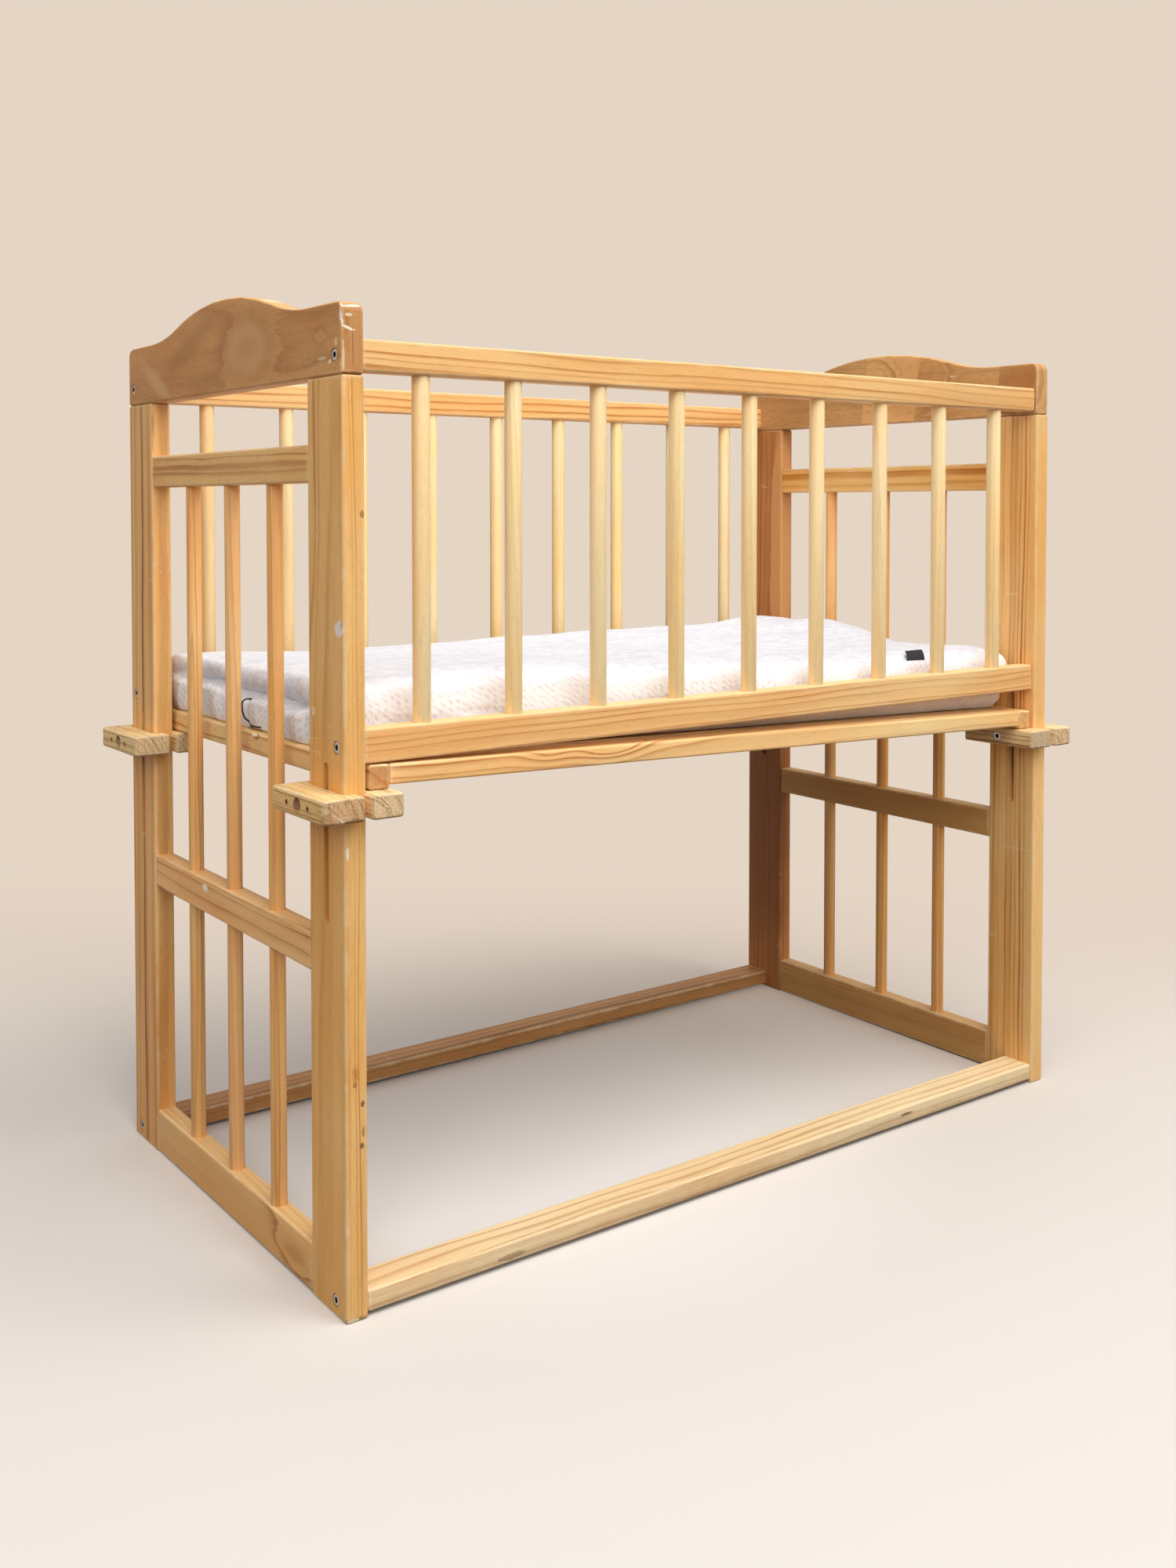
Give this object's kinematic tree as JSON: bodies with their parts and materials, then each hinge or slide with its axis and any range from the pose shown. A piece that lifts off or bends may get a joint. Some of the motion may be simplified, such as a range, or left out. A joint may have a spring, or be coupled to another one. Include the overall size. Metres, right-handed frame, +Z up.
{
  "type": "co-sleeping cradle",
  "caption": "Wooden baby cradle with spindle sides and humped headboards; sliding clamps in slotted posts set the height and tilt of its mattress platform.",
  "frame": {"origin": "on the floor under the middle of the cradle", "axes": "+X along the length to the right end, where the platform hangs lower; -Y the front side; +Z up"},
  "size_m": [0.9886, 0.532, 0.8888],
  "materials": {
    "post_pine": "satin lacquer",
    "headboard_pine": "satin lacquer over darker glued pine",
    "rail_pine": "satin lacquer",
    "end_spindle_pine": "satin lacquer",
    "spindle_beech": "satin lacquer over pale wood",
    "clamp_wood": "raw, sawn",
    "platform_pine": "satin lacquer",
    "hardboard": "raw board",
    "quilted_cover": "quilted white knit",
    "zinc_bolt": "zinc plated"
  },
  "bodies": {
    "frame": {"post_left_front": "post_pine", "post_left_back": "post_pine", "headboard_left": "headboard_pine", "upper_rail_left": "rail_pine", "middle_rail_left": "rail_pine", "floor_rail_left": "rail_pine", "end_spindle_left_1": "end_spindle_pine", "end_spindle_left_2": "end_spindle_pine", "end_spindle_left_3": "end_spindle_pine", "post_right_front": "post_pine", "post_right_back": "post_pine", "headboard_right": "headboard_pine", "upper_rail_right": "rail_pine", "middle_rail_right": "rail_pine", "floor_rail_right": "rail_pine", "end_spindle_right_1": "end_spindle_pine", "end_spindle_right_2": "end_spindle_pine", "end_spindle_right_3": "end_spindle_pine", "top_rail_front": "rail_pine", "bottom_rail_front": "rail_pine", "floor_stretcher_front": "rail_pine", "side_spindle_front_1": "spindle_beech", "side_spindle_front_2": "spindle_beech", "side_spindle_front_3": "spindle_beech", "side_spindle_front_4": "spindle_beech", "side_spindle_front_5": "spindle_beech", "side_spindle_front_6": "spindle_beech", "side_spindle_front_7": "spindle_beech", "side_spindle_front_8": "spindle_beech", "side_spindle_front_9": "spindle_beech", "top_rail_back": "rail_pine", "bottom_rail_back": "rail_pine", "floor_stretcher_back": "rail_pine", "side_spindle_back_1": "spindle_beech", "side_spindle_back_2": "spindle_beech", "side_spindle_back_3": "spindle_beech", "side_spindle_back_4": "spindle_beech", "side_spindle_back_5": "spindle_beech", "side_spindle_back_6": "spindle_beech", "side_spindle_back_7": "spindle_beech", "side_spindle_back_8": "spindle_beech", "side_spindle_back_9": "spindle_beech"},
    "clamp_left_front": {"clamp_outer_left_front": "clamp_wood", "clamp_inner_left_front": "clamp_wood", "clamp_bolt_left_front": "zinc_bolt"},
    "clamp_left_back": {"clamp_outer_left_back": "clamp_wood", "clamp_inner_left_back": "clamp_wood", "clamp_bolt_left_back": "zinc_bolt"},
    "clamp_right_front": {"clamp_outer_right_front": "clamp_wood", "clamp_inner_right_front": "clamp_wood", "clamp_bolt_right_front": "zinc_bolt"},
    "clamp_right_back": {"clamp_outer_right_back": "clamp_wood", "clamp_inner_right_back": "clamp_wood", "clamp_bolt_right_back": "zinc_bolt"},
    "platform": {"platform_end_rail_left": "platform_pine", "platform_end_rail_right": "platform_pine", "platform_long_rail_front": "platform_pine", "platform_long_rail_back": "platform_pine", "base_board": "hardboard"},
    "mattress": {"mattress": "quilted_cover"}
  },
  "joints": [
    {"name": "platform_height", "type": "slide", "parent": "frame", "child": "clamp_left_front", "axis": [0, 0, 1], "range_m": [-0.06, 0]},
    {"name": "left_back_height", "type": "slide", "parent": "frame", "child": "clamp_left_back", "axis": [0, 0, 1], "range_m": [-0.06, 0]},
    {"name": "platform_tilt", "type": "hinge", "parent": "clamp_left_front", "child": "platform", "pos_m": [-0.4187, 0, 0.4502], "axis": [0, 1, 0], "range_deg": [-1.5, 1.2]},
    {"name": "right_front_height", "type": "slide", "parent": "clamp_left_front", "child": "clamp_right_front", "axis": [0, 0, 1], "range_m": [-0.0185, 0.023]},
    {"name": "right_back_height", "type": "slide", "parent": "clamp_left_front", "child": "clamp_right_back", "axis": [0, 0, 1], "range_m": [-0.0185, 0.023]},
    {"name": "mattress_lift", "type": "slide", "parent": "platform", "child": "mattress", "axis": [0, 0, 1], "range_m": [0, 0.42]}
  ],
  "couplings": [
    {"joint": "left_back_height", "follows": "platform_height", "ratio": 1},
    {"joint": "right_front_height", "follows": "platform_tilt", "m_per_rad": -0.8607},
    {"joint": "right_back_height", "follows": "platform_tilt", "m_per_rad": -0.8607}
  ]
}
